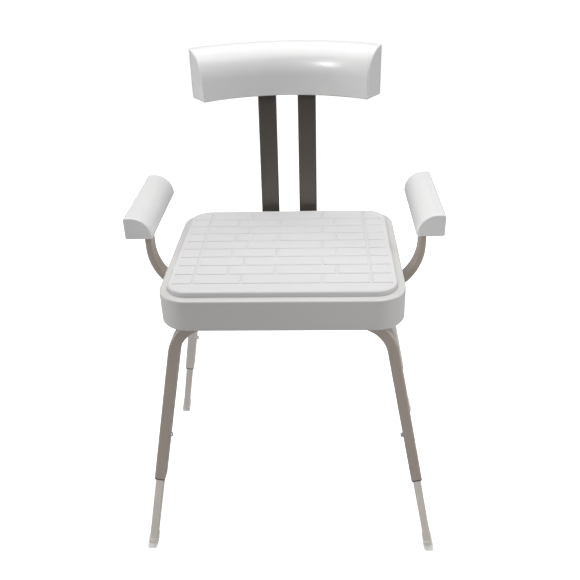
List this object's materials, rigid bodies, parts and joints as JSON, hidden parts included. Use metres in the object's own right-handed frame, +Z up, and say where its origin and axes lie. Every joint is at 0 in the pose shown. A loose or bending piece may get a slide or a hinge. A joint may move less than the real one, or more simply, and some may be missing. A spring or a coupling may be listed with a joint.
{
  "type": "shower stool",
  "caption": "Height-adjustable shower stool with a padded seat, a curved back rest on flat posts and curved arm rests.",
  "frame": {"origin": "on the floor, under the middle of the whole stool's outline, 30.9 mm behind the middle of the seat", "axes": "+Z up, the sitter faces -Y, +X to the right of someone who looks at the stool's front"},
  "size_m": [0.551, 0.463, 0.843],
  "materials": {
    "tray": "satin grey-white injection moulding with a polished lip",
    "pad": "matt soft-touch foam moulding, pale grey-white",
    "frame_paint": "satin taupe powder coat on steel tube",
    "post_paint": "satin taupe powder coat on flat steel tube",
    "rest_moulding": "satin white moulding",
    "leg_tube": "satin silver tube",
    "foot_rubber": "translucent milky rubber",
    "button_steel": "plated steel",
    "fixings": "zinc-plated steel",
    "insert_brass": "turned brass",
    "dark_plastic": "black nylon"
  },
  "bodies": {
    "seat": {"seat_tray": "tray", "seat_pad": "pad", "seat_inserts": "insert_brass", "front_leg_frame": "frame_paint", "rear_leg_frame": "frame_paint", "bar_saddles": "dark_plastic", "seat_screws": "fixings", "post_spacers": "dark_plastic", "back_post_left": "post_paint", "back_post_right": "post_paint", "post_bolts": "fixings", "bar_nuts": "fixings", "post_plugs": "dark_plastic", "back_shell": "rest_moulding", "back_cover": "rest_moulding", "back_sockets": "dark_plastic", "back_screws": "fixings", "arm_tube_left": "post_paint", "arm_tube_right": "post_paint", "arm_bolts": "fixings", "arm_nuts": "fixings", "arm_plugs": "dark_plastic", "arm_rest_left": "rest_moulding", "arm_rest_right": "rest_moulding", "arm_base_left": "rest_moulding", "arm_base_right": "rest_moulding", "arm_clamp_screws": "fixings", "arm_rest_screws": "fixings", "collar_fl": "dark_plastic", "collar_fr": "dark_plastic", "collar_rl": "dark_plastic", "collar_rr": "dark_plastic"},
    "leg_fl": {"leg_fl": "leg_tube", "guide_fl": "dark_plastic", "spring_fl": "fixings", "foot_fl": "foot_rubber"},
    "leg_fr": {"leg_fr": "leg_tube", "guide_fr": "dark_plastic", "spring_fr": "fixings", "foot_fr": "foot_rubber"},
    "leg_rl": {"leg_rl": "leg_tube", "guide_rl": "dark_plastic", "spring_rl": "fixings", "foot_rl": "foot_rubber"},
    "leg_rr": {"leg_rr": "leg_tube", "guide_rr": "dark_plastic", "spring_rr": "fixings", "foot_rr": "foot_rubber"},
    "button_fl": {"button_fl": "button_steel"},
    "button_fr": {"button_fr": "button_steel"},
    "button_rl": {"button_rl": "button_steel"},
    "button_rr": {"button_rr": "button_steel"}
  },
  "joints": [
    {"name": "front_left_leg_slide", "type": "slide", "parent": "seat", "child": "leg_fl", "axis": [0.1874, 0.0719, 0.9796], "range_m": [0, 0.12], "deforming": ["button_fl", "spring_fl"]},
    {"name": "front_right_leg_slide", "type": "slide", "parent": "seat", "child": "leg_fr", "axis": [-0.1874, 0.0719, 0.9796], "range_m": [0, 0.12], "deforming": ["button_fr", "spring_fr"]},
    {"name": "rear_left_leg_slide", "type": "slide", "parent": "seat", "child": "leg_rl", "axis": [0.1874, -0.2542, 0.9488], "range_m": [0, 0.12], "deforming": ["button_rl", "spring_rl"]},
    {"name": "rear_right_leg_slide", "type": "slide", "parent": "seat", "child": "leg_rr", "axis": [-0.1874, -0.2542, 0.9488], "range_m": [0, 0.12], "deforming": ["button_rr", "spring_rr"]},
    {"name": "front_left_button", "type": "slide", "parent": "leg_fl", "child": "button_fl", "axis": [-0.9823, 0.0137, 0.1869], "range_m": [0, 0.0065], "stiffness_N_per_m": 1500, "springref_m": -0.002, "deforming": ["spring_fl"]},
    {"name": "front_right_button", "type": "slide", "parent": "leg_fr", "child": "button_fr", "axis": [0.9823, 0.0137, 0.1869], "range_m": [0, 0.0065], "stiffness_N_per_m": 1500, "springref_m": -0.002, "deforming": ["spring_fr"]},
    {"name": "rear_left_button", "type": "slide", "parent": "leg_rl", "child": "button_rl", "axis": [-0.9823, -0.0485, 0.181], "range_m": [0, 0.0065], "stiffness_N_per_m": 1500, "springref_m": -0.002, "deforming": ["spring_rl"]},
    {"name": "rear_right_button", "type": "slide", "parent": "leg_rr", "child": "button_rr", "axis": [0.9823, -0.0485, 0.181], "range_m": [0, 0.0065], "stiffness_N_per_m": 1500, "springref_m": -0.002, "deforming": ["spring_rr"]}
  ]
}
